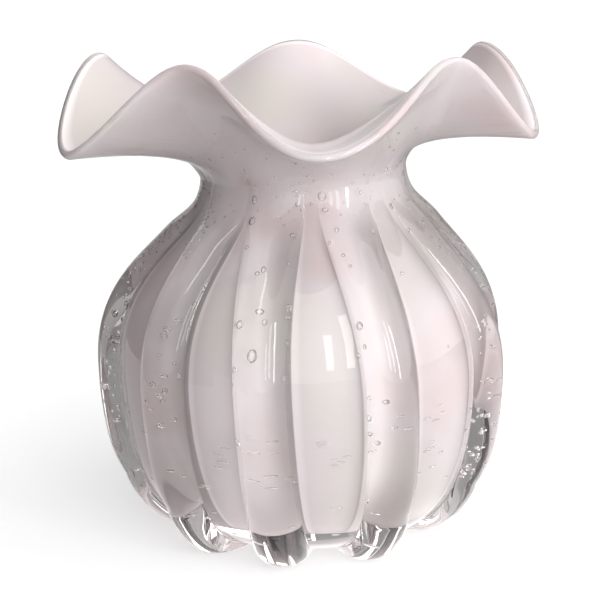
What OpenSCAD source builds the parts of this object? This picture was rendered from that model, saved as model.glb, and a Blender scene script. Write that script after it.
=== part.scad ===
// A free-standing glass vase: an opal lining blown inside a thick clear casing,
// with ten ribs, ten clear feet at the ribs' lower ends and a lip ruffled in five waves.
// Millimetres, +Z up. The origin lies on the vase's axis, at the level that the feet stand on.
// Azimuths are in degrees. They start at the front, -Y, and grow towards the right, +X.
//
// One smooth skin, without ribs, runs from the middle of the underside, round the belly and
// through the neck to the lip. A station s says how far along it a point lies:
// 0 to 1 is the flat underside, 1 to 2 rises to the belly, 2 to 3 rises to the neck,
// 3 to 4 is the flare. Ribs and feet are added outside this skin, and the glass lies inside it.

/* [Body] */
// Radius of the skin at the belly, between two ribs
belly_r = 78; // [72:0.5:86]
// Height of the belly's widest place
belly_z = 72; // [64:1:80]
// Radius of the skin at the neck
neck_r = 41; // [36:0.5:48]
// Height of the neck's narrowest place
neck_z = 148.5; // [142:0.5:156]
// How much higher the neck sits on the right than in the middle, as on the hand-worked vase
neck_skew_h = 3; // [0:0.5:4]
// Radius of the flat underside
base_r = 45; // [40:1:50]
// Height of the underside above the table
base_z = 3.5; // [3:0.5:6]
// How far the underside runs on level before it turns up
base_run = 24; // [16:1:26]
// How far the belly stays upright below its widest place
belly_fall = 36; // [26:1:38]
// How far the belly stays upright above its widest place
belly_rise = 43; // [38:1:50]
// How far the neck stays upright below its narrowest place
neck_fall = 22; // [18:1:28]

/* [Lip] */
// Number of waves round the lip
wave_count = 5; // [4:1:7]
// Azimuth of the first crest, right of the front
wave_turn = 38; // [20:1:60]
// Radius of the lip at a crest
crest_r = 80; // [74:1:86]
// Height of the lip at a crest
crest_z = 195; // [188:1:202]
// Radius of the lip at a trough, where it leans out furthest
trough_r = 96.5; // [90:0.5:102]
// Height of the lip at a trough
trough_z = 163; // [160:1:172]
// How far the neck stays upright above its narrowest place
neck_rise = 4; // [3:0.5:10]
// How far the flare runs outwards into a crest
crest_run = 13.5; // [9:0.5:18]
// How far the flare climbs into a crest
crest_climb = 17; // [12:1:22]
// How far the flare runs outwards into a trough
trough_run = 52; // [40:1:56]
// How far the flare climbs into a trough. Below zero it turns down a little at the lip
trough_climb = -1.5; // [-3:0.1:3]

/* [Glass] */
// Thickness of the opal lining in the body
opal_t = 2.5; // [2:0.1:4]
// Thickness of the opal lining at the lip
opal_lip_t = 2.5; // [1.8:0.1:5]
// Clear glass over the opal under the floor
clear_base_t = 13; // [8:0.5:16]
// Clear glass over the opal at the belly, between two ribs
clear_belly_t = 4.5; // [3:0.5:7]
// Clear glass over the opal at the neck
clear_neck_t = 4; // [3:0.5:6]
// Clear glass over the opal at the lip
clear_lip_t = 1; // [0.8:0.1:3]

/* [Ribs and feet] */
// Number of ribs, each of which ends in a foot
rib_count = 10; // [8:1:12]
// Azimuth of the first rib at the neck
rib_turn = -13; // [-30:1:10]
// How far a rib leans round from the neck to the underside
rib_lean_turn = 6; // [0:1:12]
// Width of a rib at the belly
rib_w = 22; // [18:0.5:26]
// How far a rib stands out at the belly
rib_h = 8.2; // [5:0.2:10]
// How far a rib stands out on the shoulder, below the place where it sinks into the neck
rib_shoulder_h = 4; // [3:0.5:5]
// How far a rib stands out at the neck
rib_neck_h = 1.2; // [0.6:0.1:2]
// How far a rib stands out where its foot begins
rib_base_h = 2.5; // [1:0.1:2.7]
// How far a foot stands out beyond its rib
foot_h = 6; // [5:0.5:10]

/* [Hidden] */
// What the hand-worked waves differ by, wave by wave from the first crest towards the right:
// shares of crest_r, crest_z, trough_r and trough_z, and of half a wave's turn
crest_r_share = [-0.01, 0.03, 0, 0.11, -0.01];
crest_z_share = [0.005, 0, -0.015, -0.02, -0.005];
trough_r_share = [-0.035, 0, 0, 0.025, -0.01];
trough_z_share = [0.015, 0.02, 0, -0.02, 0.02];
crest_turn_share = [0.19, 0.01, 0, 0.1, 0.05];
trough_turn_share = [-0.09, 0.01, 0.04, 0.2, 0.03];
// Shares of a rib's pitch that the ribs stand off their even places by
rib_turn_share = [-0.04, -0.01, 0.15, 0.1, 0, 0.01, 0.01, 0.01, 0, 0.07];

// Angle from one rib to the next, and from a crest to the trough beside it
rib_pitch = 360 / rib_count;
half_wave = 180 / wave_count;

// Columns of the mesh: places across a rib, as shares of its half width, and panes beside it
across_share = [-1, -0.64, -0.22, 0.22, 0.64, 1];
pane_count = 3;
rib_columns = len(across_share) - 1 + pane_count;
column_count = rib_count * rib_columns;
// Most of a rib's pitch that the rib may fill, and what it fills at the lip
rib_fill_share = 0.86;
lip_fill_share = (len(across_share) - 1) / rib_columns;
// How full a rib's rounded section is: 0.5 is an ellipse, 1 a parabola
rib_round = 0.8;

// Stations of the underside's edge, the belly, the neck and the lip
station_shares = [1, 2, 3, 4];
edge_station = station_shares[0];
belly_station = station_shares[1];
neck_station = station_shares[2];
lip_station = station_shares[3];
// Stations between which a foot lies, and the number of rows across it
foot_from_share = 0.86;
foot_to_share = 1.5;
foot_row_count = 10;
// Stations of the casing's outer skin, and of the two skins of the opal
outer_stations = concat([foot_from_share / 2, foot_from_share],
                        steps(edge_station, belly_station, 12),
                        steps(belly_station, neck_station, 12),
                        steps(neck_station, lip_station, 9), [lip_station]);
opal_stations = concat([edge_station / 2], steps(edge_station, belly_station, 8),
                       steps(belly_station, neck_station, 9),
                       steps(neck_station, lip_station, 8), [lip_station]);
// How full a foot is lengthwise, in the same way
foot_round = 0.7;
// Stations where a rib has grown to rib_base_h, starts and ends its swell to rib_h, has sunk to
// rib_shoulder_h and to rib_neck_h, and dies out
rib_full_share = 1.2;
rib_swell_shares = [1.1, 1.7];
rib_shoulder_share = 2.6;
rib_sunk_share = 2.85;
rib_end_share = 3.6;
// How far round the lip the opal reaches: 0 stops it square, 1 rounds it over in full
opal_edge_share = 0.8;
// Angles at which the lip's and the opal's rounded edges have their rows
lip_turn = 36;
opal_turn = 45;
// Steps by which slopes are measured: along the skin, and round it in degrees
slope_share = 0.01;
slope_turn = 0.5;

function foot_name(i) = str("foot_", i < 9 ? "0" : "", i + 1);

// Curve through a and d, pulled towards b and c
function bezier(a, b, c, d, t) =
    pow(1 - t, 3) * a + 3 * pow(1 - t, 2) * t * b + 3 * (1 - t) * t * t * c + pow(t, 3) * d;

// 0 below the first place, 1 above the second, and smooth between them
function ease(from, to, x) =
    let (t = max(0, min(1, (x - from) / (to - from)))) t * t * (3 - 2 * t);

function mix(a, b, share) = a * (1 - share) + b * share;

// Even steps from one number towards another, without the last
function steps(from, to, count) = [for (i = [0:count - 1]) mix(from, to, i / count)];

function unit(v) = v / norm(v);

// Number of a wave's crest or trough, counted on from the last to the first again
function wave_of(i) =
    let (halves = 2 * wave_count, mark = i - halves * floor(i / halves))
    floor(mark / 2) % len(crest_r_share);

// Turn of a crest (even i) or a trough (odd i), in half waves from wave_turn
function mark_turn(i) =
    i + (i % 2 == 0 ? crest_turn_share[wave_of(i)] : trough_turn_share[wave_of(i)]);

// Radius, height and share of crest of the lip at a crest or a trough
function lip_mark(i) =
    i % 2 == 0
        ? [crest_r * (1 + crest_r_share[wave_of(i)]), crest_z * (1 + crest_z_share[wave_of(i)]), 1]
        : [trough_r * (1 + trough_r_share[wave_of(i)]), trough_z * (1 + trough_z_share[wave_of(i)]), 0];

// The same at any azimuth, with how far to the right it lies
function lip(az) =
    let (turn = (az - wave_turn) / half_wave,
         near = floor(turn),
         i = turn < mark_turn(near) ? near - 1 : turn < mark_turn(near + 1) ? near : near + 1,
         share = (1 - cos(180 * (turn - mark_turn(i)) / (mark_turn(i + 1) - mark_turn(i)))) / 2)
    concat(mix(lip_mark(i), lip_mark(i + 1), share), [sin(az)]);

// Radius and height of the skin at a station, for the lip of one azimuth
function meridian(s, lip) =
    let (run = mix(trough_run, crest_run, lip[2]),
         climb = mix(trough_climb, crest_climb, lip[2]),
         neck = neck_z + neck_skew_h * lip[3])
    s <= edge_station ? [base_r * s, base_z]
    : s <= belly_station
        ? bezier([base_r, base_z], [base_r + base_run, base_z],
                 [belly_r, belly_z - belly_fall], [belly_r, belly_z], s - edge_station)
    : s <= neck_station
        ? bezier([belly_r, belly_z], [belly_r, belly_z + belly_rise],
                 [neck_r, neck - neck_fall], [neck_r, neck], s - belly_station)
    : bezier([neck_r, neck], [neck_r, neck + neck_rise],
             [lip[0] - run, lip[1] - climb], [lip[0], lip[1]], s - neck_station);

function place(az, p) = [p[0] * sin(az), -p[0] * cos(az), p[1]];

function skin(az, s) = place(az, meridian(s, lip(az)));

// Slope of the skin towards the lip
function along(az, s) =
    unit(skin(az, s + slope_share) - skin(az, s - slope_share));

// Direction into the glass, square to the skin
function inwards(az, s) =
    s <= edge_station ? [0, 0, 1]
    : unit(cross(along(az, s), skin(az + slope_turn, s) - skin(az - slope_turn, s)));

// Thickness of the clear glass and of the opal at a station
function clear_t(s) =
    s <= neck_station
        ? mix(mix(clear_base_t, clear_belly_t, ease(edge_station, belly_station, s)),
              clear_neck_t, ease(belly_station, neck_station, s))
    : mix(clear_neck_t, clear_lip_t, ease(neck_station, lip_station, s));
function opal_t(s) = mix(opal_t, opal_lip_t, ease(neck_station, lip_station, s));

// Half of the angle that a rib takes at a station. Up to the neck the skin is round, so one
// azimuth's radius holds for all of them
function half_rib(s) =
    let (r = meridian(min(s, neck_station), lip(0))[0],
         most = rib_fill_share * rib_pitch / 2,
         level = r > rib_w / 2 ? min(most, asin(rib_w / 2 / r)) : most)
    mix(level, lip_fill_share * rib_pitch / 2, ease(neck_station, lip_station, s));

// Azimuth of a rib's middle at the neck
function rib_middle(rib) =
    rib_turn + rib_pitch * (rib + rib_turn_share[rib % rib_count % len(rib_turn_share)]);

// Azimuth of a column at a station: a rib's columns keep to the rib as it narrows and leans
function azimuth(column, s) =
    let (rib = floor(column / rib_columns),
         i = column % rib_columns,
         last = len(across_share) - 1,
         half = half_rib(s),
         lean = mix(rib_lean_turn, 0, ease(edge_station, neck_station, s)),
         middle = rib_middle(rib) + lean,
         next = rib_middle(rib + 1) + lean)
    i <= last ? middle + across_share[i] * half
    : mix(middle + half, next - half, (i - last) / pane_count);

// Share of a rib's height at a place across it
function rib_bulge(share) = pow(max(0, 1 - share * share), rib_round);

// How far the ribs stand out at a station
function rib_rise(s) =
    s <= belly_station
        ? mix(rib_base_h, rib_h, ease(rib_swell_shares[0], rib_swell_shares[1], s))
          * ease(foot_from_share, rib_full_share, s)
    : mix(mix(mix(rib_h, rib_shoulder_h, ease(belly_station, rib_shoulder_share, s)),
              rib_neck_h, ease(rib_shoulder_share, rib_sunk_share, s)),
          0, ease(neck_station, rib_end_share, s));

function column_bulge(column) =
    let (i = column % rib_columns) i < len(across_share) ? rib_bulge(across_share[i]) : 0;

// Points of the three skins: outside with its ribs, opal against clear, and the hollow
function outer_point(column, s) =
    let (az = azimuth(column, s))
    skin(az, s) - inwards(az, s) * rib_rise(s) * column_bulge(column);
function deep_point(column, s, depth) =
    let (az = azimuth(column, s)) skin(az, s) + inwards(az, s) * depth;
function opal_point(column, s) = deep_point(column, s, clear_t(s));
function hollow_point(column, s) = deep_point(column, s, clear_t(s) + opal_t(s));

// A point of a rounded edge at the lip. Its middle lies at a depth, with half its thickness on
// either side, and it reaches ahead of the lip. Angle 0 is its outer side and 180 its inner side
function edge_point(column, angle, depth, half, ahead) =
    let (az = azimuth(column, lip_station))
    skin(az, lip_station) + inwards(az, lip_station) * (depth - half * cos(angle))
    + along(az, lip_station) * ahead * sin(angle);

// The clear glass rounds the lip over in full, and the opal ends inside it, so that the lip has a
// clear edge. Both meet at the skin of the hollow
lip_t = clear_lip_t + opal_lip_t;
function lip_point(column, angle) = edge_point(column, angle, lip_t / 2, lip_t / 2, lip_t / 2);
function opal_edge_point(column, angle) =
    edge_point(column, angle, clear_lip_t + opal_lip_t / 2, opal_lip_t / 2,
               opal_edge_share * opal_lip_t / 2);

// Closed solid from rows of points that run from one pole to another
module lathe_mesh(first, rows, last) {
    n = len(rows[0]);
    m = len(rows);
    points = concat([first], [for (row = rows) each row], [last]);
    faces = concat(
        [for (j = [0:n - 1]) [0, 1 + j, 1 + (j + 1) % n]],
        [for (i = [0:m - 2], j = [0:n - 1])
            let (a = 1 + i * n + j, b = 1 + i * n + (j + 1) % n)
            each [[a, a + n, b + n], [a, b + n, b]]],
        [for (j = [0:n - 1]) [1 + m * n, 1 + (m - 1) * n + (j + 1) % n, 1 + (m - 1) * n + j]]);
    polyhedron(points, faces, convexity = 10);
}

module opal_liner() {
    columns = [0:column_count - 1];
    color("mistyrose")
        lathe_mesh(
            [0, 0, base_z + clear_base_t],
            concat(
                [for (s = opal_stations) [for (c = columns) opal_point(c, s)]],
                [for (angle = [opal_turn:opal_turn:180 - opal_turn])
                    [for (c = columns) opal_edge_point(c, angle)]],
                [for (i = [len(opal_stations) - 1:-1:0])
                    [for (c = columns) hollow_point(c, opal_stations[i])]]),
            [0, 0, base_z + clear_base_t + opal_t]);
}

module clear_casing() {
    columns = [0:column_count - 1];
    color("lavenderblush", 0.4)
        lathe_mesh(
            [0, 0, base_z],
            concat(
                [for (s = outer_stations) [for (c = columns) outer_point(c, s)]],
                [for (angle = [lip_turn:lip_turn:180 - lip_turn])
                    [for (c = columns) lip_point(c, angle)]],
                [for (angle = [180:-opal_turn:opal_turn])
                    [for (c = columns) opal_edge_point(c, angle)]],
                [for (i = [len(opal_stations) - 1:-1:0])
                    [for (c = columns) opal_point(c, opal_stations[i])]]),
            [0, 0, base_z + clear_base_t]);
}

// Points of a foot: row and i run along and across the end of its rib. The upper ones lie on the
// rib's skin, and the lower ones below them, down to the table
function upper_point(rib, row, i) =
    outer_point(rib * rib_columns + i, mix(foot_from_share, foot_to_share, row / foot_row_count));
function lower_point(rib, row, i) =
    let (across = across_share[i],
         lengthwise = 2 * row / foot_row_count - 1,
         drop = foot_h * sqrt(max(0, 1 - across * across))
                * pow(max(0, 1 - lengthwise * lengthwise), foot_round),
         p = upper_point(rib, row, i))
    [p[0], p[1], max(0, p[2] - drop)];

// A foot's upper side lies on its rib, and its lower side swells from the same edge down to the
// table, where it is flat
module foot(rib) {
    last = len(across_share) - 1;
    width = last + 1;
    inner = last - 1;
    upper = [for (row = [0:foot_row_count], i = [0:last]) upper_point(rib, row, i)];
    lower = [for (row = [1:foot_row_count - 1], i = [1:last - 1]) lower_point(rib, row, i)];
    start = len(upper);
    function low(row, i) =
        row == 0 || row == foot_row_count || i == 0 || i == last
            ? row * width + i
            : start + (row - 1) * inner + i - 1;
    faces = [for (row = [0:foot_row_count - 1], i = [0:last - 1])
        let (a = row * width + i,
             b = a + 1,
             c = a + width,
             d = c + 1,
             e = low(row, i),
             f = low(row, i + 1),
             g = low(row + 1, i),
             h = low(row + 1, i + 1),
             turned = row == 0 && i == last - 1 || row == foot_row_count - 1 && i == 0)
        each turned ? [[a, b, c], [b, d, c], [e, g, f], [f, g, h]]
             : [[a, b, d], [a, d, c], [e, h, f], [e, g, h]]];
    color("lavenderblush", 0.5) polyhedron(concat(upper, lower), faces, convexity = 4);
}

opal_liner();
clear_casing();
for (i = [0:rib_count - 1]) {
    foot(i);
}
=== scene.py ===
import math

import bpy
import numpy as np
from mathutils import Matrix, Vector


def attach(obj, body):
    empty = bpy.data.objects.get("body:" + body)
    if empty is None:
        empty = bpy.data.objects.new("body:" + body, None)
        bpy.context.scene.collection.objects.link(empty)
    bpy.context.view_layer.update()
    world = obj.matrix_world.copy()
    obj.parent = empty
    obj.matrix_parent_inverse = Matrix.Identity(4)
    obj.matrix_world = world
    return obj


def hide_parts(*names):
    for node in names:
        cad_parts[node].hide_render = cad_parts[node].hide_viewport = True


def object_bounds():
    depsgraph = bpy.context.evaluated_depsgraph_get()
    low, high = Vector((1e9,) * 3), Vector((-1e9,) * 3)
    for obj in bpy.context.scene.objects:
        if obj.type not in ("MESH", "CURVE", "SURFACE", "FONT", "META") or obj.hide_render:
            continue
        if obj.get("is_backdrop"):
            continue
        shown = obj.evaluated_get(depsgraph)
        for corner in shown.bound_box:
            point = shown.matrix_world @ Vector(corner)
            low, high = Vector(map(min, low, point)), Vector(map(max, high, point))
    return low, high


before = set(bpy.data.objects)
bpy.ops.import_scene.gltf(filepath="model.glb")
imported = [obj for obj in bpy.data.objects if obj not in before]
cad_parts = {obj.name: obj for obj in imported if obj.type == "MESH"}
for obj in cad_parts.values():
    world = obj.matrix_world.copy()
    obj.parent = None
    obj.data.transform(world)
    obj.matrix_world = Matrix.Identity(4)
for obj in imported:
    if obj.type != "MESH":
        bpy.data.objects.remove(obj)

# %% [markdown]
# # A ruffled glass vase
# The real vase is two glasses, worked hot: an opal lining blown like a thin bubble, and a thick
# clear casing gathered over it, with ribs, small feet and trapped air. The solids come from the
# imported model. Here each of them gets a finer surface and its glass. First the box of the packed
# solids is noted, because the finer surfaces are clipped to it.

MM = 0.001
cad_box = [list(map(float, corner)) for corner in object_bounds()]
print("packed box, mm:", [[round(x / MM, 1) for x in corner] for corner in cad_box])

# %% [markdown]
# ## Sizes of body, neck and lip
# A glassmaker would judge these by eye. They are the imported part's own sizes, in millimetres, and
# the places of the five waves, which the maker's hand left uneven. They could be measured from the
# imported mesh, but a smooth surface needs the curves behind it, so they are written out.

# %% Sizes of body, neck and lip
BELLY_R, BELLY_Z = 78, 72
NECK_R, NECK_Z, NECK_SKEW = 41, 148.5, 3
BASE_R, BASE_Z, BASE_RUN = 45, 3.5, 24
BELLY_FALL, BELLY_RISE, NECK_FALL, NECK_RISE = 36, 43, 22, 4
WAVES, WAVE_TURN = 5, 38
CREST_R, CREST_Z, TROUGH_R, TROUGH_Z = 80, 195, 96.5, 163
CREST_RUN, CREST_CLIMB, TROUGH_RUN, TROUGH_CLIMB = 13.5, 17, 52, -1.5
HALF_WAVE = 180 / WAVES
# stations along the skin: the underside's edge, the belly, the neck and the lip
EDGE, BELLY, NECK, LIP = 1, 2, 3, 4

# what each wave differs by, from the first crest towards the right
CREST_R_SHARE = np.array([-0.01, 0.03, 0, 0.11, -0.01])
CREST_Z_SHARE = np.array([0.005, 0, -0.015, -0.02, -0.005])
TROUGH_R_SHARE = np.array([-0.035, 0, 0, 0.025, -0.01])
TROUGH_Z_SHARE = np.array([0.015, 0.02, 0, -0.02, 0.02])
CREST_TURN_SHARE = np.array([0.19, 0.01, 0, 0.1, 0.05])
TROUGH_TURN_SHARE = np.array([-0.09, 0.01, 0.04, 0.2, 0.03])
print("crests, mm up:", (CREST_Z * (1 + CREST_Z_SHARE)).round(1))
print("troughs, mm up:", (TROUGH_Z * (1 + TROUGH_Z_SHARE)).round(1))

# %% [markdown]
# ## The skin
# Blown glass has one smooth skin from the middle of the underside to the lip. It could be modelled
# with a lathe and then bent, or sculpted. Written as curves it stays exactly where the solids are:
# a station s says how far along the skin a point lies, and an azimuth says how far round.

# %% Smooth changes
def ease(start, end, x):
    t = np.clip((x - start) / (end - start), 0, 1)
    return t * t * (3 - 2 * t)


def mix(a, b, share):
    return a * (1 - share) + b * share


def bezier(a, b, c, d, t):
    return (1 - t)**3 * a + 3 * (1 - t)**2 * t * b + 3 * (1 - t) * t * t * c + t**3 * d


# %% The lip's crests and troughs
def marks():
    """Turn, radius, height and share of crest of the crests and troughs, once round and on."""
    turn, r, z, crest = [], [], [], []
    for wave in range(WAVES):
        turn += [2 * wave + CREST_TURN_SHARE[wave], 2 * wave + 1 + TROUGH_TURN_SHARE[wave]]
        r += [CREST_R * (1 + CREST_R_SHARE[wave]), TROUGH_R * (1 + TROUGH_R_SHARE[wave])]
        z += [CREST_Z * (1 + CREST_Z_SHARE[wave]), TROUGH_Z * (1 + TROUGH_Z_SHARE[wave])]
        crest += [1, 0]
    turn.append(turn[0] + 2 * WAVES)
    return np.array(turn) * HALF_WAVE, [np.array(x + x[:1]) for x in (r, z, crest)]


MARK_TURN, MARKS = marks()


def lip(az):
    """Radius, height and share of crest of the lip at an azimuth, and how far right it lies."""
    turn = np.mod(az - WAVE_TURN - MARK_TURN[0], 360) + MARK_TURN[0]
    i = np.clip(np.searchsorted(MARK_TURN, turn, side="right") - 1, 0, 2 * WAVES - 1)
    share = (1 - np.cos(np.pi * (turn - MARK_TURN[i]) / (MARK_TURN[i + 1] - MARK_TURN[i]))) / 2
    return [mix(x[i], x[i + 1], share) for x in MARKS] + [np.sin(np.radians(az))]


print("crests and troughs, degrees round:", (MARK_TURN[:-1] + WAVE_TURN).round())


# %% The skin at an azimuth and a station
def meridian(s, r, z, crest, right):
    """Radius and height of the skin."""
    run = mix(TROUGH_RUN, CREST_RUN, crest)
    climb = mix(TROUGH_CLIMB, CREST_CLIMB, crest)
    neck = NECK_Z + NECK_SKEW * right
    to_edge, to_belly, to_neck = s - EDGE, s - BELLY, s - NECK
    spans = [s <= EDGE, s <= BELLY, s <= NECK]
    return (np.select(spans, [BASE_R * s,
                              bezier(BASE_R, BASE_R + BASE_RUN, BELLY_R, BELLY_R, to_edge),
                              bezier(BELLY_R, BELLY_R, NECK_R, NECK_R, to_belly)],
                      bezier(NECK_R, NECK_R, r - run, r, to_neck)),
            np.select(spans, [BASE_Z + 0 * s,
                              bezier(BASE_Z, BASE_Z, BELLY_Z - BELLY_FALL, BELLY_Z, to_edge),
                              bezier(BELLY_Z, BELLY_Z + BELLY_RISE, neck - NECK_FALL, neck,
                                     to_belly)],
                      bezier(neck, neck + NECK_RISE, z - climb, z, to_neck)))


def skin(az, s):
    r, z = meridian(s, *lip(az))
    turn = np.radians(az)
    return np.stack([r * np.sin(turn), -r * np.cos(turn), z], -1)


print("front of the neck, mm:", skin(np.array(0.0), np.array(float(NECK))).round(1))

# %% Directions on the skin
STATION_STEP, TURN_STEP = 0.01, 0.5


def unit(v):
    return v / np.maximum(np.linalg.norm(v, axis=-1, keepdims=True), 1e-9)


def along(az, s):
    """Slope of the skin towards the lip."""
    return unit(skin(az, s + STATION_STEP) - skin(az, s - STATION_STEP))


def inwards(az, s):
    """Direction into the glass, square to the skin."""
    square = unit(np.cross(along(az, s), skin(az + TURN_STEP, s) - skin(az - TURN_STEP, s)))
    return np.where((s <= EDGE)[..., None], np.array([0, 0, 1.0]), square)


print("inwards at the front of the belly:", inwards(np.array(0.0), np.array(float(BELLY))).round(2))

# %% [markdown]
# ## Ribs and feet
# Ten ribs run down the outside and end in the feet. On the real vase they come from a ribbed mould
# and pincers. They could be pushed up with a sculpting brush, but a formula keeps all ten alike:
# the mesh has columns that keep to each rib as it leans and narrows, so its creases stay crisp.

# %% Sizes of ribs and feet
RIBS, RIB_TURN, RIB_LEAN, RIB_W = 10, -13, 6, 22
RIB_H, RIB_SHOULDER_H, RIB_NECK_H, RIB_BASE_H, FOOT_H = 8.2, 4, 1.2, 2.5, 6
RIB_ROUND, FOOT_ROUND = 0.8, 0.7
RIB_FILL, LIP_FILL = 0.86, 0.625
PITCH = 360 / RIBS
# stations at which ribs and feet begin, swell, sink and end
FOOT_FROM, FOOT_TO, RIB_FULL, SWELL_FROM, SWELL_TO = 0.86, 1.5, 1.2, 1.1, 1.7
RIB_SHOULDER, RIB_SUNK, RIB_END = 2.6, 2.85, 3.6
# what each rib's place differs by, in shares of the pitch
RIB_TURN_SHARE = np.array([-0.04, -0.01, 0.15, 0.1, 0, 0.01, 0.01, 0.01, 0, 0.07])
print("ribs:", RIBS, "about", PITCH, "degrees apart")


# %% Where a rib and the panel beside it lie
def half_rib(s):
    """Half of the angle that a rib takes. Up to the neck the lip's own numbers don't matter."""
    r, _ = meridian(np.minimum(s, NECK), 1, 1, 0, 0)
    most = RIB_FILL * PITCH / 2
    level = np.degrees(np.arcsin(np.clip(RIB_W / 2 / np.maximum(r, 1), -1, 1)))
    return mix(np.minimum(most, level), LIP_FILL * PITCH / 2, ease(NECK, LIP, s))


def rib_middle(rib):
    return RIB_TURN + PITCH * (rib + RIB_TURN_SHARE[rib % RIBS])


def rib_and_panel(rib, s):
    """Half of the rib's angle, and the azimuths at which the panel right of it starts and ends."""
    half, lean = half_rib(s), RIB_LEAN * (1 - ease(EDGE, NECK, s))
    return half, rib_middle(rib) + lean + half, rib_middle(rib + 1) + lean - half


print("a rib at the belly takes", round(2 * float(half_rib(np.array(float(BELLY)))), 1), "degrees")

# %% Columns of the mesh, close together at the creases
ACROSS_COUNT, PANE_COUNT = 22, 12
BAY = ACROSS_COUNT + PANE_COUNT
ACROSS = -np.cos(np.pi * np.arange(ACROSS_COUNT + 1) / ACROSS_COUNT)
PANE = (1 - np.cos(np.pi * np.arange(PANE_COUNT) / PANE_COUNT)) / 2
COLUMNS = RIBS * BAY
ROUND = np.arange(COLUMNS)


def column_places(column, s):
    """Azimuth of each column at a station, and its place across the rib, -1 to 1."""
    rib, i = column // BAY, column % BAY
    half, start, end = rib_and_panel(rib, s)
    across = ACROSS[np.minimum(i, ACROSS_COUNT)]
    pane = PANE[np.maximum(0, i - ACROSS_COUNT)]
    return (np.where(i <= ACROSS_COUNT, start - half + across * half,
                     mix(start, end, pane)), across)


print("columns:", COLUMNS)

# %% How far ribs and feet stand out
FLOOR_ROUND = 0.8


def rib_rise(s):
    low = mix(RIB_BASE_H, RIB_H, ease(SWELL_FROM, SWELL_TO, s)) * ease(FOOT_FROM, RIB_FULL, s)
    high = mix(RIB_H, RIB_SHOULDER_H, ease(BELLY, RIB_SHOULDER, s))
    high = mix(high, RIB_NECK_H, ease(RIB_SHOULDER, RIB_SUNK, s)) * (1 - ease(NECK, RIB_END, s))
    return np.where(s <= BELLY, low, high)


def soft_floor(z):
    """z, but never under the table, with a rounded turn to the flat."""
    return np.where(z > FLOOR_ROUND, z, FLOOR_ROUND * np.exp(np.minimum(0, z / FLOOR_ROUND - 1)))


def outer_skin(column, s):
    """The casing's outside, with its ribs and with a foot at each rib's lower end."""
    az, across = column_places(column, s)
    flat = np.maximum(0, 1 - across * across)
    point = skin(az, s) - inwards(az, s) * (rib_rise(s) * flat**RIB_ROUND)[..., None]
    lengthwise = np.clip((s - FOOT_FROM) / (FOOT_TO - FOOT_FROM), 0, 1) * 2 - 1
    swell = FOOT_H * np.sqrt(flat) * np.maximum(0, 1 - lengthwise**2)**FOOT_ROUND
    point[..., 2] = np.where(swell > 0, soft_floor(point[..., 2] - swell), point[..., 2])
    return point


print("ribs at the belly stand out", float(rib_rise(np.array(float(BELLY)))), "mm")

# %% [markdown]
# ## Thickness
# Cased glass is thick where the gather was thick. The clear glass is thickest under the floor and
# thins out to the lip. A modifier could give one even thickness, but not this, so each inner skin
# is laid at its own depth. The casing's inner wall lies half a millimetre inside the opal, so that
# light meets the opal while it is still in the glass, as it does where two glasses are fused.

# %% Skins inside the glass
OPAL_T, OPAL_LIP_T = 2.5, 2.5
CLEAR_BASE_T, CLEAR_BELLY_T, CLEAR_NECK_T, CLEAR_LIP_T = 13, 4.5, 4, 1
FUSE = 0.5


def clear_t(s):
    body = mix(CLEAR_BASE_T, CLEAR_BELLY_T, ease(EDGE, BELLY, s))
    low = mix(body, CLEAR_NECK_T, ease(BELLY, NECK, s))
    return np.where(s <= NECK, low, mix(CLEAR_NECK_T, CLEAR_LIP_T, ease(NECK, LIP, s)))


def opal_t(s):
    return mix(OPAL_T, OPAL_LIP_T, ease(NECK, LIP, s))


def deep_skin(column, s, depth):
    az, _ = column_places(column, s)
    return skin(az, s) + inwards(az, s) * depth[..., None]


print("clear glass at the belly, mm:", float(clear_t(np.array(float(BELLY)))))

# %% Rounded edges at the lip
OPAL_EDGE_SHARE = 0.8
LIP_T = CLEAR_LIP_T + OPAL_LIP_T


def round_edge(column, angle, middle, half, ahead):
    """A rounded edge at the lip: angle 0 is its outer side and pi its inner side."""
    s = np.full(column.shape, float(LIP))
    az, _ = column_places(column, s)
    return (skin(az, s) + inwards(az, s) * (middle - half * np.cos(angle))
            + along(az, s) * ahead * np.sin(angle))


def clear_edge(angle):
    return round_edge(ROUND, angle, LIP_T / 2, LIP_T / 2, LIP_T / 2)


def opal_edge(angle, back=0):
    """The opal's edge, or one that lies back inside it for the casing's inner wall."""
    half = OPAL_LIP_T / 2 - back
    return round_edge(ROUND, angle, CLEAR_LIP_T + OPAL_LIP_T / 2, half, half * OPAL_EDGE_SHARE)


print("the lip is", LIP_T, "mm thick")

# %% [markdown]
# ## Meshes
# Both glasses are closed skins of revolution with uneven rims, so one helper serves: it joins rows
# of points into a mesh that starts and ends in a single point. A subdivided lathe would do as well,
# but here every point is placed by the formula, and nothing moves when it is smoothed.

# %% Rows of points to a mesh
BOX_LOW, BOX_HIGH = (np.array(corner) / MM for corner in cad_box)


def rows_at(stations, surface):
    s, column = np.meshgrid(stations, ROUND, indexing="ij")
    return list(surface(column, s))


def lathe(rows, first, last):
    """Points and faces of a closed skin."""
    n, m = COLUMNS, len(rows)
    points = np.clip(np.vstack([[first], *rows, [last]]), BOX_LOW, BOX_HIGH) * MM
    row, i = np.meshgrid(np.arange(m - 1), np.arange(n), indexing="ij")
    a, b = 1 + row * n + i, 1 + row * n + (i + 1) % n
    walls = np.stack([a, b, b + n, a + n], -1).reshape(-1, 4)
    end = 1 + m * n
    caps = [[0, 1 + (j + 1) % n, 1 + j] for j in range(n)]
    caps += [[end, end - n + j, end - n + (j + 1) % n] for j in range(n)]
    return points, walls.tolist() + caps


def steps(start, end, count):
    return list(mix(start, end, np.arange(count) / count))


print("steps from 0 to 1:", steps(0, 1, 4))


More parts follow.
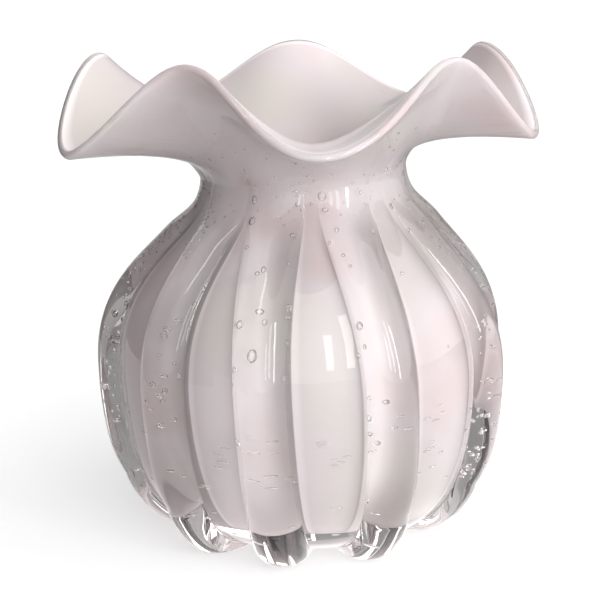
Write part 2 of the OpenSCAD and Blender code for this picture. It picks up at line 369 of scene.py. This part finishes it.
# %% A piece of the vase
def show(name, data):
    """An object of its own in the scene."""
    made = bpy.data.objects.new(name, data)
    bpy.context.scene.collection.objects.link(made)
    return made


def make_piece(name, points, faces, *nodes):
    """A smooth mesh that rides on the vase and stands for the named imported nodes."""
    mesh = bpy.data.meshes.new(name)
    mesh.from_pydata([tuple(p) for p in points], [], faces)
    mesh.shade_smooth()
    mesh.update()
    piece = show(name, mesh)
    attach(piece, "root")
    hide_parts(*nodes)
    print(name, "has", len(mesh.polygons), "faces")
    return piece


# %% [markdown]
# ## The opal lining
# This is the first gather: a bubble of pinkish white glass, open at the lip. It could be a plain
# surface with no thickness, but its rim and its floor are seen from above, so it is a closed skin:
# up the outer side, over the rounded rim, and down the inner side.

# %% The opal lining
CENTRE_ROWS, OPAL_SPAN_ROWS, OPAL_RIM_ROWS = [0.2, 0.5, 0.8], 34, 14
OPAL_ROWS = np.array(CENTRE_ROWS + steps(EDGE, BELLY, OPAL_SPAN_ROWS)
                     + steps(BELLY, NECK, OPAL_SPAN_ROWS)
                     + steps(NECK, LIP, OPAL_SPAN_ROWS) + [LIP])
FLOOR_Z = BASE_Z + CLEAR_BASE_T

opal_rim = [opal_edge(angle) for angle in np.linspace(0, np.pi, OPAL_RIM_ROWS)[1:]]
opal_rows = rows_at(OPAL_ROWS, lambda column, s: deep_skin(column, s, clear_t(s)))
opal_rows += opal_rim
opal_rows += rows_at(OPAL_ROWS[-2::-1],
                     lambda column, s: deep_skin(column, s, clear_t(s) + opal_t(s)))
lining = make_piece("opal_lining", *lathe(opal_rows, [0, 0, FLOOR_Z], [0, 0, FLOOR_Z + OPAL_T]),
                    "opal_liner")

# %% [markdown]
# ## Painted light and shade on the opal
# The clear ribs bend light onto the opal, and that is painted into its colour: painted light in a
# bright line along each rib's left edge and in another at its right edge, and painted shade on the
# rib's right half and on the panel just left of the next rib. The left side of the body and the
# right side from above the belly get painted shade too, and the opal is darker low on the ribs. A
# texture could be painted, but the pattern follows the ribs, so each point of the lining gets a
# number from its place, and the material turns that into a shade.

# %% The outer side's painted light and shade
# place across a rib, -1 to 1, and on over the panel beside it, 1 to 3, with the tone there:
# painted light in lines at the rib's edges, and painted shade on its right half and beside the
# lines
RIB_LIGHT_AND_SHADE = [(-1.0, 0.9), (-0.9, 1.0), (-0.6, 1.0), (-0.5, 0.8), (-0.2, 0.74), (0.05, 0.45),
         (0.3, 0.2), (0.85, 0.08), (1.0, 0.2), (1.03, 1.0), (1.13, 0.9), (1.3, 0.55), (2.2, 0.66),
         (2.6, 0.58), (2.87, 0.4), (2.97, 0.15), (3.0, 0.9)]
# the tone where ribs don't mark it, low down and at the neck, and the stations between the two
BODY_TONE, NECK_TONE, PLAIN_CHANGES = 0.95, 0.6, (2.7, 3.3)
PATTERN_STARTS = (1.02, 1.2)
# painted shade on the left and right sides and darkening low on the ribs, in degrees left or right
# of the front or in stations, and how much darker each makes it
LEFT_STARTS, LEFT_ENDS, LEFT_TOP, LEFT_SHADE = (28, 45), (50, 75), (2.2, 2.6), 0.55
RIGHT_STARTS, RIGHT_ENDS, RIGHT_FOOT, RIGHT_SHADE = (35, 60), (95, 130), (2.25, 2.5), 0.65
LOW_TOP, LOW_DARKENING = (1.5, 1.75), 0.4


def outer_light_and_shade(column, s):
    """The outer side's tone, 0 to 1: the ribs' painted light and shade, and painted shade at the
    sides.
    """
    i = column % BAY
    place = np.where(i <= ACROSS_COUNT, ACROSS[np.minimum(i, ACROSS_COUNT)],
                     1 + 2 * PANE[np.maximum(0, i - ACROSS_COUNT)])
    az, _ = column_places(column, s)
    az = np.mod(az + 180, 360) - 180
    left = ease(*LEFT_STARTS, -az) * (1 - ease(*LEFT_ENDS, -az)) * (1 - ease(*LEFT_TOP, s))
    right = ease(*RIGHT_STARTS, az) * (1 - ease(*RIGHT_ENDS, az)) * ease(*RIGHT_FOOT, s)
    low = (place <= 1) * (1 - ease(*LOW_TOP, s))
    # painted shade on the left and right sides, and darkening low on the ribs
    darkening = np.maximum.reduce([LEFT_SHADE * left, RIGHT_SHADE * right, LOW_DARKENING * low])
    marked = ease(*PATTERN_STARTS, s) * (1 - ease(RIB_SHOULDER, NECK, s))
    plain = mix(BODY_TONE, NECK_TONE, ease(*PLAIN_CHANGES, s))
    # the ribs' painted light and shade, faded into the plain tone below and above them
    white = mix(plain, np.interp(place, *np.transpose(RIB_LIGHT_AND_SHADE)), marked)
    return white * (1 - marked * darkening)


s_grid, column_grid = np.meshgrid(OPAL_ROWS, ROUND, indexing="ij")
outer = outer_light_and_shade(column_grid, s_grid)
print("outer tones from", outer.min().round(2), "to", outer.max().round(2))

# %% The inner side's painted shade and the rim's tone
HOLLOW_SHADE, MOUTH_TONE, MOUTH_STARTS, RIM_TONE = 0.08, 0.28, (3.4, 4.1), 0.5
# azimuths of the two sides with painted shade, how far each spreads as a cosine, and the left one's
# share
RIGHT_SIDE, LEFT_SIDE, SPREAD, LEFT_LOSS = 115, -105, (0.2, 1), 0.6


def inner_shade(column, s):
    """Painted shade on the inner side: lightest towards the lip, and darker deep down and to the
    left and right.
    """
    az, _ = column_places(column, s)
    right, left = (ease(*SPREAD, np.cos(np.radians(az - side)))
                   for side in (RIGHT_SIDE, LEFT_SIDE))
    up = ease(*MOUTH_STARTS, s)
    return mix(HOLLOW_SHADE, MOUTH_TONE, up) * (1 - right) * (1 - LEFT_LOSS * left)


inner = inner_shade(column_grid, s_grid)
rim = np.full(len(opal_rim) * COLUMNS, RIM_TONE)
# the lining's painted light and shade, point by point in the mesh's order
tones = np.concatenate([[inner.max()], outer.ravel(), rim, inner[-2::-1].ravel(), [inner.min()]])
lining.data.attributes.new("tone", "FLOAT", "POINT").data.foreach_set("value", tones)
print("inner tones from", inner.min().round(2), "to", inner.max().round(2))

# %% [markdown]
# ## The clear casing
# This is the second gather, with the ribs and the feet that were pulled from it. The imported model
# has the feet as solids of their own. Glass that was joined hot bends light with no seam inside, so
# here casing and feet are one closed skin: up the ribbed outside, over the lip, back under the
# opal's rim and down the inner wall.

# %% The casing's rows
FOOT_ROWS, BODY_ROWS, FLARE_ROWS, CLEAR_RIM_ROWS, FUSED_RIM_ROWS = 44, 56, 40, 13, 9
UNDERSIDE_ROWS = [0.3, 0.6, 0.8]
CASING_ROWS = np.array(UNDERSIDE_ROWS + steps(FOOT_FROM, FOOT_TO, FOOT_ROWS)
                       + steps(FOOT_TO, NECK, BODY_ROWS) + steps(NECK, LIP, FLARE_ROWS) + [LIP])
casing_rows = rows_at(CASING_ROWS, outer_skin)
casing_rows += [clear_edge(angle) for angle in np.linspace(0, np.pi, CLEAR_RIM_ROWS)[1:]]
casing_rows += [opal_edge(angle, FUSE) for angle in np.linspace(np.pi, 0, FUSED_RIM_ROWS)[:-1]]
casing_rows += rows_at(OPAL_ROWS[::-1],
                       lambda column, s: deep_skin(column, s, clear_t(s) + FUSE))
casing_points, casing_faces = lathe(casing_rows, [0, 0, BASE_Z], [0, 0, FLOOR_Z + FUSE])
print("the casing has", len(casing_rows), "rows")

# %% [markdown]
# ## Bubbles
# The trapped air is what gives this glass its life. Bubbles lie between the outer skin and the
# opal, in loose strings along the ribs, pressed flat near the feet and stretched where the glass
# was pulled. A shader could fake them with dots, but only real hollows bend the light right, so
# each is a small egg whose faces look into the air inside it, in the same mesh as the glass.

# %% One bubble's points and faces
BALL_ROUND, BALL_UP = 10, 7


def ball():
    rows = [[0, 0, -1]]
    for j in range(1, BALL_UP):
        up = math.pi * (j / BALL_UP - 0.5)
        rows += [[math.cos(up) * math.cos(2 * math.pi * i / BALL_ROUND),
                  math.cos(up) * math.sin(2 * math.pi * i / BALL_ROUND), math.sin(up)]
                 for i in range(BALL_ROUND)]
    rows.append([0, 0, 1])
    top = len(rows) - 1
    faces = []
    for i in range(BALL_ROUND):
        k = (i + 1) % BALL_ROUND
        faces.append([0, 1 + i, 1 + k])
        faces.append([top, top - BALL_ROUND + k, top - BALL_ROUND + i])
        for j in range(BALL_UP - 2):
            a = 1 + j * BALL_ROUND
            faces.append([a + i, a + BALL_ROUND + i, a + BALL_ROUND + k, a + k])
    return np.array(rows), faces


BALL, BALL_FACES = ball()
print("a bubble has", len(BALL_FACES), "faces")

# %% A bubble in its place
# no bubble is larger than this share of the wall, and each is pressed this flat
MOST_OF_WALL, PRESSED = 0.3, 0.8
# what it keeps to both sides of the wall: so many times its size, and so many mm more
REACH, SPARE = 1.25, 0.2


def bubble(rib, place, s, share, size, wide=1.0, tall=1.0):
    """A bubble at a place on a rib, -1 to 1, or on the panel right of it, 1 to 3, share deep."""
    s, rib = np.array(float(s)), np.array(rib)
    half, start, end = rib_and_panel(rib, s)
    az = start - half + place * half if place <= 1 else mix(start, end, (place - 1) / 2)
    stand = rib_rise(s) * max(0, 1 - place * place)**RIB_ROUND
    size = min(size, (clear_t(s) + stand) * MOST_OF_WALL)
    room = size * REACH + SPARE
    deep, up = inwards(az, s), along(az, s)
    side = np.cross(deep, up)
    shape = BALL * size * np.array([wide, PRESSED, tall])
    middle = skin(az, s) + deep * mix(room - stand, clear_t(s) - room, share)
    return middle + shape[:, :1] * side + shape[:, 1:2] * deep + shape[:, 2:] * up


# %% [markdown]
# ## Where the bubbles lie
# A few large bubbles catch the eye on the front, and there are strings and clouds of small ones.
# Particles on the ribs could scatter them, but they would lie on the skin. So the large ones are
# listed, and a seeded rule draws the rest, which gives the same vase on every run.

# %% The bubbles that stand out on the front
# rib, place on it, station, size, width and height
LARGE = [
    (0, -0.17, 2.17, 1.7, 1.0, 1.5), (0, -0.02, 2.33, 1.3, 1.2, 0.9), (0, 0.15, 2.29, 1.0, 1, 1.2),
    (0, -0.07, 2.52, 1.1, 0.8, 1.4), (0, -0.25, 2.50, 0.9, 1, 1), (1, -0.55, 2.73, 0.9, 1, 1.2),
    (1, -0.9, 2.67, 0.7, 1, 1), (1, -0.62, 2.59, 0.7, 1, 1), (1, -0.52, 2.53, 0.6, 1, 1),
    (1, -0.85, 1.90, 1.1, 1.1, 0.9), (1, -0.65, 1.87, 1.2, 1.3, 0.8),
    (1, -0.38, 2.02, 1.1, 1.4, 0.8), (1, -0.17, 1.93, 0.9, 1.8, 0.6),
    (1, 0.25, 1.92, 0.9, 2.0, 0.5), (1, 0.0, 1.97, 0.8, 2.0, 0.5), (1, 1.43, 2.47, 0.8, 1.2, 0.9),
    (1, 2.15, 2.14, 0.6, 1, 1), (0, 2.95, 2.17, 1.0, 1, 1.1)]
LARGE_DEPTH = 0.35

# %% Strings of bubbles
# rib, place, from one station to another, how many, how large, and how flat
STRINGS = [
    (9, 0.2, 1.88, 2.26, 15, 1.0, 0.9), (9, -0.5, 2.2, 2.8, 10, 0.6, 1.0),
    (0, 0.5, 2.75, 3.1, 8, 0.5, 1.2), (0, 1.9, 1.55, 1.95, 7, 0.9, 0.35),
    (0, 0.1, 1.65, 1.95, 6, 0.9, 0.35), (1, 1.5, 1.75, 1.97, 8, 0.9, 0.4),
    (9, 2.4, 1.7, 2.05, 5, 0.9, 0.4), (2, -0.3, 1.75, 2.2, 22, 0.7, 1.0),
    (2, 0.1, 2.3, 2.8, 22, 0.6, 1.0), (2, 0.3, 1.5, 2.1, 20, 0.7, 1.0),
    (8, 0.1, 2.3, 3.05, 110, 0.5, 1.0), (8, 0.4, 1.7, 2.3, 26, 0.7, 1.0),
    (9, -0.6, 2.5, 3.0, 20, 0.5, 1.0), (7, 0.2, 2.2, 2.95, 24, 0.6, 1.0),
    (3, -0.2, 2.2, 2.9, 50, 0.55, 1.0)]
rng = np.random.default_rng(7)


def strings():
    for rib, place, start, end, count, size, flat in STRINGS:
        for _ in range(count):
            yield bubble(rib, place + rng.normal(0, 0.25), s=rng.uniform(start, end),
                         share=rng.uniform(0.15, 0.7), size=size * rng.uniform(0.6, 1.3),
                         wide=rng.uniform(0.9, 1.4) / max(flat, 0.5), tall=flat)


# %% Small bubbles all round
FLANKS, ANYWHERE = [-0.78, 0.72], (-0.9, 2.9)
FLANK_COUNT, LOW_COUNT, SPECK_COUNT = 20, 9, 18


def small_ones(rib):
    """In turn: along both flanks of a rib, flattened low down, and specks from neck to flare."""
    for _ in range(FLANK_COUNT):
        place = rng.choice(FLANKS) + rng.normal(0, 0.07)
        yield bubble(rib, place, s=rng.uniform(1.35, 3.1), share=rng.uniform(0.2, 0.8),
                     size=rng.gamma(3, 0.2) + 0.25, wide=rng.uniform(0.8, 1.3),
                     tall=rng.uniform(0.8, 1.5))
    for _ in range(LOW_COUNT):
        yield bubble(rib, rng.uniform(*ANYWHERE), s=rng.uniform(1.15, 1.9),
                     share=rng.uniform(0.3, 0.7), size=rng.uniform(0.5, 0.9),
                     wide=rng.uniform(1.8, 3.0), tall=0.5)
    for _ in range(SPECK_COUNT):
        yield bubble(rib, rng.uniform(*ANYWHERE), s=rng.uniform(2.8, 3.6),
                     share=rng.uniform(0.3, 0.7), size=rng.uniform(0.25, 0.6),
                     tall=rng.uniform(0.8, 1.8))


bubbles = [bubble(rib, place, s, LARGE_DEPTH, *shape) for rib, place, s, *shape in LARGE]
bubbles += strings()
for rib in range(RIBS):
    bubbles += small_ones(rib)
print("bubbles:", len(bubbles))

# %% Casing and bubbles in one mesh
skin_count = len(casing_points)
casing_points = np.vstack([casing_points] + [b * MM for b in bubbles])
for number in range(len(bubbles)):
    first = skin_count + number * len(BALL)
    casing_faces += [[first + i for i in face] for face in BALL_FACES]
casing = make_piece("clear_casing_with_feet", casing_points, casing_faces, "clear_casing",
                    *[f"foot_{i:02d}" for i in range(1, RIBS + 1)])


# %% [markdown]
# ## Shader maths
# Materials are built from nodes. Linking them by hand is wordy, so one small class wraps a socket
# and turns Python's own signs into Math nodes, and one method makes any other node.

# %% A wrapper for sockets
class Wire:
    def __init__(self, tree, socket):
        self.tree, self.socket = tree, socket

    def maths(self, kind, *others):
        return node(self.tree, "ShaderNodeMath", {"operation": kind},
                    dict(enumerate((self,) + others)))

    def __add__(self, other): return self.maths("ADD", other)
    def __sub__(self, other): return self.maths("SUBTRACT", other)
    def __mul__(self, other): return self.maths("MULTIPLY", other)
    def __rsub__(self, other): return node(self.tree, "ShaderNodeMath", {"operation": "SUBTRACT"},
                                           {0: other, 1: self})
    __radd__, __rmul__ = __add__, __mul__


# %% Any other node
def node(tree, kind, settings=None, inputs=None, output=0):
    """A node with its settings first, then its sockets' values or links. Returns one output."""
    made = tree.nodes.new(kind)
    for key, value in (settings or {}).items():
        if key == "stops":
            ramp = made.color_ramp
            while len(ramp.elements) < len(value):
                ramp.elements.new(0.5)
            for element, (place, colour) in zip(ramp.elements, value):
                element.position, element.color = place, (*colour, 1)
        else:
            setattr(made, key, value)
    for key, value in (inputs or {}).items():
        into = made.inputs[key]
        if kind == "ShaderNodeMix" and key in ("A", "B"):      # it has these for each data type
            into = next(x for x in made.inputs if x.identifier == key + "_Color")
        if isinstance(value, Wire):
            tree.links.new(value.socket, into)
        else:
            into.default_value = value
    if kind == "ShaderNodeMix":
        return Wire(tree, next(x for x in made.outputs if x.identifier == "Result_Color"))
    return Wire(tree, made.outputs[output]) if made.outputs else None


# %% What every material needs
def fade(tree, value, start, end, at_start=0.0, at_end=1.0):
    """A number that changes evenly while value goes from start to end, and then stays."""
    return node(tree, "ShaderNodeMapRange", inputs={
        "Value": value, "From Min": start, "From Max": end, "To Min": at_start, "To Max": at_end})


def material(name):
    made = bpy.data.materials.new(name)
    made.use_nodes = True
    made.node_tree.nodes.clear()
    return made, made.node_tree


def finish_material(tree, shader, **volume):
    node(tree, "ShaderNodeOutputMaterial", inputs={"Surface": shader, **volume})


# %% [markdown]
# ## Clear glass
# The casing is plain soda glass: nothing but its refraction and a faint grey-rose tint that deepens
# with thickness. The tint could be a surface colour, but then thin and thick parts look alike, so
# it is absorbed inside the volume. Hot glass that was reheated keeps a slow waviness, and round
# the neck, where it was pulled, fine upright streaks, and a bump is enough for both.

# %% The casing's material
RIPPLE_SCALE, STREAK_SCALE, STREAK_SHARE = 38, 330, 0.3
STREAK_STRETCH = (1, 1, 0.12)
STREAKS_COME, STREAKS_GO = (0.128, 0.143), (0.155, 0.170)      # metres up
TINT, TINT_DENSITY = (0.80, 0.77, 0.765, 1), 20

glass, tree = material("clear_glass")
place = node(tree, "ShaderNodeTexCoord", output="Object")
ripple = node(tree, "ShaderNodeTexNoise",
              inputs={"Vector": place, "Scale": RIPPLE_SCALE, "Detail": 1})
drawn = node(tree, "ShaderNodeVectorMath", {"operation": "MULTIPLY"}, {0: place, 1: STREAK_STRETCH})
streaks = node(tree, "ShaderNodeTexNoise",
               inputs={"Vector": drawn, "Scale": STREAK_SCALE, "Detail": 1})
height = node(tree, "ShaderNodeSeparateXYZ", inputs={"Vector": place}, output="Z")
come, gone = fade(tree, height, *STREAKS_COME), fade(tree, height, *STREAKS_GO)
wave = node(tree, "ShaderNodeBump", inputs={
    "Height": ripple + streaks * come * (1 - gone) * STREAK_SHARE,
    "Strength": 0.16, "Distance": 0.002})
body = node(tree, "ShaderNodeBsdfPrincipled", inputs={
    "Base Color": (1, 1, 1, 1), "Roughness": 0, "IOR": 1.5, "Transmission Weight": 1,
    "Normal": wave})
tint = node(tree, "ShaderNodeVolumeAbsorption", inputs={"Color": TINT, "Density": TINT_DENSITY})
finish_material(tree, body, Volume=tint)
casing.data.materials.append(glass)
print(glass.name, "has", len(tree.nodes), "nodes")

# %% [markdown]
# ## Opal glass
# Opal is white because of fine crystals in it. A shader could scatter light inside it, but the
# render would take far longer. Its colour carries painted light and shade instead: the tone of each
# point picks a shade from grey to white, and a faint rose cast comes and goes over it. Its gloss is
# weak, because most of it touches the clear glass and not air.

# %% The lining's material
CAST_SCALE = 20
CAST = [(0.36, (0.96, 0.84, 0.84)), (0.5, (0.98, 0.915, 0.94)), (0.64, (0.96, 0.92, 0.89))]
# grey to white for the painted light and shade, from the lowest tone to the highest
SHADES = [(0.0, (0.442, 0.42, 0.412)), (0.6, (0.845, 0.83, 0.828)), (1.0, (1.0, 1.0, 1.0))]

opal, tree = material("rose_opal")
place = node(tree, "ShaderNodeTexCoord", output="Object")
cloud = node(tree, "ShaderNodeTexNoise",
             inputs={"Vector": place, "Scale": CAST_SCALE, "Detail": 2, "Roughness": 0.5})
rose = node(tree, "ShaderNodeValToRGB", {"stops": CAST}, {"Fac": cloud})
# each point's painted light and shade
tone = node(tree, "ShaderNodeAttribute", {"attribute_name": "tone"}, output="Fac")
shade = node(tree, "ShaderNodeValToRGB", {"stops": SHADES}, {"Fac": tone})
colour = node(tree, "ShaderNodeMix", {"data_type": "RGBA", "blend_type": "MULTIPLY"},
              {"Factor": 1.0, "A": rose, "B": shade})
milk = node(tree, "ShaderNodeBsdfPrincipled", inputs={
    "Base Color": colour, "Roughness": 0.15, "IOR": 1.25})
finish_material(tree, milk)
lining.data.materials.append(opal)
print(opal.name, "has", len(tree.nodes), "nodes")

# %% [markdown]
# ## The table
# The photograph is a cut-out on white. A pale sheet that curves up at the back keeps the vase's
# soft shadow. Lit plainly it would be grey, and clear glass shows all that is round it. Stronger
# lamps would bleach the vase, so the sheet glows a little instead. How much depends on what a ray
# is for: the camera's own rays find it white, and the rays that the glass mirrors or bends find it
# brighter to the right and close under the vase, and darker behind it. That gives the feet and the
# ribs their light and dark edges.

# %% What a ray is for
def sight(tree):
    """Two shares: 1 for the camera's own rays, and 1 for those mirrored or bent by the glass."""
    camera, glossy, bent = (node(tree, "ShaderNodeLightPath", output=name)
                            for name in ("Is Camera Ray", "Is Glossy Ray", "Is Transmission Ray"))
    return camera, glossy.maths("MAXIMUM", bent)


# %% The table's sheet
HALF_WIDTH, BEND = 4, [(-3, 0), (2.2, 0), (2.9, 0.12), (3.2, 0.5), (3.3, 1.2)]
mesh = bpy.data.meshes.new("floor")
mesh.from_pydata([(x, y, z) for y, z in BEND for x in (-HALF_WIDTH, HALF_WIDTH)], [],
                 [(2 * i, 2 * i + 1, 2 * i + 3, 2 * i + 2) for i in range(len(BEND) - 1)])
floor = show("floor", mesh)
floor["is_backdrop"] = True
print("the table is", 2 * HALF_WIDTH, "m wide")

# %% The table's paper
PAPER, DIMMEST = 0.5, 0.75
paper, tree = material("white_paper")
spot = node(tree, "ShaderNodeTexCoord", output="Object")
left_right = node(tree, "ShaderNodeSeparateXYZ", inputs={"Vector": spot}, output="X")
front_back = node(tree, "ShaderNodeSeparateXYZ", inputs={"Vector": spot}, output="Y")
away = node(tree, "ShaderNodeVectorMath", {"operation": "LENGTH"}, {0: spot}, "Value")
sheen = fade(tree, left_right, -0.18, 0.15, at_start=0.15, at_end=0.8)
behind = fade(tree, front_back, 0.02, 0.15)
rightward = fade(tree, left_right, -0.1, 0.05, at_start=0.35, at_end=1.0)
under = fade(tree, away, 0.03, 0.09, at_start=1.2, at_end=0.0)
# painted light and shade, for mirrored and bent rays only: the glow is brighter to the right and
# pools under the vase, and glow and matt colour are darker behind it
dimmed = behind * rightward * DIMMEST
seen, lit = sight(tree)
matt = node(tree, "ShaderNodeBsdfDiffuse", inputs={"Color": PAPER - PAPER * lit * dimmed})
glow = node(tree, "ShaderNodeEmission", inputs={
    "Color": seen * PAPER + (1 - seen) * lit * (sheen * (1 - dimmed) + under), "Strength": 1})
finish_material(tree, node(tree, "ShaderNodeAddShader", inputs={0: matt, 1: glow}))
floor.data.materials.append(paper)
print(paper.name, "has", len(tree.nodes), "nodes")

# %% [markdown]
# ## The world
# The real vase seems to have stood in a soft light that was brighter at the front right. One even
# colour would leave the glass flat, and this script reads no pictures of rooms, so the world is
# bright towards that side and almost dark away from it. The camera's own rays find white, and so
# do mirrored and bent rays that leave towards the back.

# %% The world's shader
BRIGHT_SIDE, BACKWARDS = (0.66, -0.64, 0.38), (0.1, 0.99, 0)
ROOM_STRENGTH, SOLID_WHITE = 2.1, (1, 1, 1, 1)
world = bpy.data.worlds.new("studio")
bpy.context.scene.world = world
world.use_nodes = True
tree = world.node_tree
tree.nodes.clear()
way = node(tree, "ShaderNodeTexCoord", output="Generated")


def facing(direction, stops):
    """A number for each ray. A stop at 1 is a ray in that direction, and one at 0 the opposite."""
    share = node(tree, "ShaderNodeVectorMath", {"operation": "DOT_PRODUCT"},
                 {0: way, 1: direction}, "Value")
    ramp = node(tree, "ShaderNodeValToRGB", {"stops": [(place, (x, x, x)) for place, x in stops]},
                {"Fac": share * 0.5 + 0.5})
    ramp.socket.node.color_ramp.interpolation = "EASE"
    return ramp


backdrop = facing(BACKWARDS, [(0.66, 0), (0.86, 1)])
seen, bent = sight(tree)
see = (bent * backdrop).maths("MAXIMUM", seen)
soft = facing(BRIGHT_SIDE, [(0.2, 0.02), (0.5, 0.17), (0.83, 1.0)])
room = node(tree, "ShaderNodeBackground", inputs={"Color": soft, "Strength": ROOM_STRENGTH})
white = node(tree, "ShaderNodeBackground", inputs={"Color": SOLID_WHITE, "Strength": 1})
sky = node(tree, "ShaderNodeMixShader", inputs={0: see, 1: room, 2: white})
node(tree, "ShaderNodeOutputWorld", inputs={"Surface": sky})
print(world.name, "has", len(tree.nodes), "nodes")

# %% [markdown]
# ## Dark cards
# Clear glass on white shows its edges only if something dark stands beside it. A photographer puts
# up dark cards left and right, just outside the picture. The left one is mirrored in the vase's
# left side, and both are seen bent through its outer edges. They are kept out of the camera's own
# view and cast no shadow on the table, so that only the glass shows them.

# %% The cards on the left and right
CARD_X, CARD_BACK, CARD_TOP = 0.42, 0.55, 0.7
NEARLY_BLACK = (0.05, 0.048, 0.048, 1)
felt, tree = material("dark_felt")
finish_material(tree, node(tree, "ShaderNodeBsdfDiffuse", inputs={"Color": NEARLY_BLACK}))


def dark_card(name, x, front):
    """A card that stands upright at x, and that only mirrored and bent rays meet."""
    outline = ((front, 0), (CARD_BACK, 0), (CARD_BACK, CARD_TOP), (front, CARD_TOP))
    mesh = bpy.data.meshes.new(name)
    mesh.from_pydata([(x, y, z) for y, z in outline], [], [(0, 1, 2, 3)])
    card = show(name, mesh)
    card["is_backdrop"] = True
    card.visible_camera = card.visible_shadow = card.visible_diffuse = False
    card.data.materials.append(felt)
    print(name, "is", round(CARD_BACK - front, 2), "m long")
    return card


dark_card("dark_card_left", -CARD_X, -0.35)
dark_card("dark_card_right", CARD_X, 0.12).visible_glossy = False

# %% [markdown]
# ## Lamps
# Streaks run down the ribs of the real vase: reflections of windows. Soft boxes stand for them.
# Three tall ones at the front right give the streaks right of each rib's middle, one high on the
# left gives the short ones at the shoulder, and a weak one behind on the left draws the left rim.
# The large one behind lights the opal's back through the clear glass, because the feet show that
# back. Bare matt surfaces don't see that one or the one high up, so neither burns out the mouth.
# A picture of a room could give all of them at once, but a lamp can be moved until its streak
# falls where the photograph has it.

# %% Soft boxes
LAMP_AIM = (0, 0, 0.1)


def soft_box(name, place, size, power):
    """A lamp of that width and height, in metres, that faces the vase."""
    light = bpy.data.lights.new(name, "AREA")
    light.shape, light.size, light.size_y, light.energy = "RECTANGLE", size[0], size[1], power
    lamp = show(name, light)
    lamp.location = place
    lamp.rotation_euler = (Vector(LAMP_AIM) - lamp.location).to_track_quat("-Z", "Y").to_euler()
    print(name, "gives", power, "W")
    return lamp


soft_box("window_right", (1.0, -1.0, 0.6), (0.12, 1.0), 5)
soft_box("window_front", (0.30, -1.17, 0.5), (0.10, 0.55), 0.75)
soft_box("window_beside", (0.53, -1.0, 0.6), (0.12, 0.8), 1.3)
soft_box("window_above", (-0.36, -0.52, 1.2), (0.10, 0.4), 0.8).visible_diffuse = False
soft_box("rim_light", (-0.9, 0.36, 0.4), (0.15, 0.8), 0.5)
back_window = soft_box("window_behind", (0.2, 1.5, 0.9), (1.4, 0.8), 13)
back_window.visible_diffuse = back_window.visible_glossy = False

# %% [markdown]
# ## The camera
# The photograph looks down on the vase by about 15 degrees from half a metre. A camera could be
# set by eye, but laying the vase's outline over the picture's gives the lens and the small shift.

# %% Camera
ELEVATION, DISTANCE, LENS, TARGET_Z = math.radians(15.2), 0.562, 80.3, 0.093
SENSOR, SHIFT, NEAREST = 36, -0.0057, 0.01
camera = show("camera", bpy.data.cameras.new("camera"))
camera.data.sensor_width, camera.data.lens, camera.data.clip_start = SENSOR, LENS, NEAREST
camera.data.shift_x = SHIFT
camera.location = (0, -DISTANCE * math.cos(ELEVATION), TARGET_Z + DISTANCE * math.sin(ELEVATION))
camera.rotation_euler = (math.pi / 2 - ELEVATION, 0, 0)
bpy.context.scene.camera = camera
bpy.context.scene.view_settings.view_transform = "Standard"
print("camera, m:", [round(x, 3) for x in camera.location])

# %% [markdown]
# ## The size of what was made
# The vase stays as large as the imported solids: its skins are clipped to their box. The two boxes
# are printed, so that a piece that outgrew it would show.

# %% The two boxes
final_box = [list(map(float, corner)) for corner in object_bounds()]
print("shown box, mm:", [[round(x / MM, 1) for x in corner] for corner in final_box])
